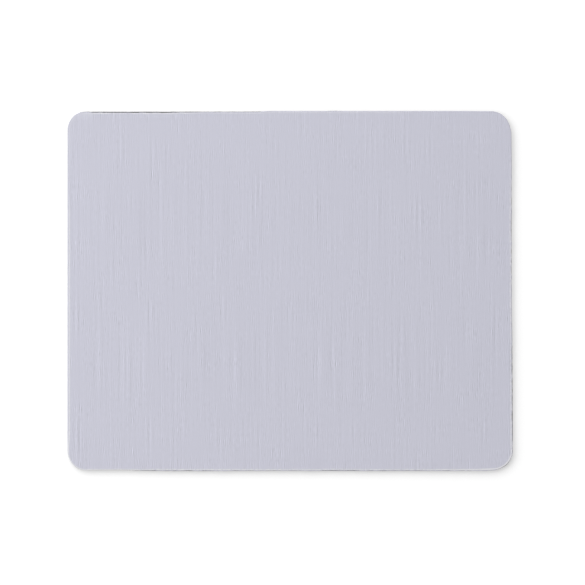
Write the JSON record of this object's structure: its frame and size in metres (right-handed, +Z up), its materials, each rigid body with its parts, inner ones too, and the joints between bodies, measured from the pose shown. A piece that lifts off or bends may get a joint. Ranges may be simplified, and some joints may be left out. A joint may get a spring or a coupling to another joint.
{
  "type": "mouse pad",
  "caption": "Flat rectangular mouse pad with round corners: a plain pale grey knit cloth bonded to a black foam rubber base with a zigzag grip underside.",
  "frame": {"origin": "centre of the underside, on the surface that the pad lies on", "axes": "+X along the long side, +Y along the short side away from the user, +Z up through the cloth"},
  "size_m": [0.22, 0.178, 0.003],
  "materials": {
    "knit_cloth": "matte",
    "hot_melt_film": "satin",
    "foam_rubber": "matte"
  },
  "bodies": {
    "root": {"cloth_top": "knit_cloth", "adhesive_film": "hot_melt_film", "rubber_base": "foam_rubber"}
  },
  "joints": []
}
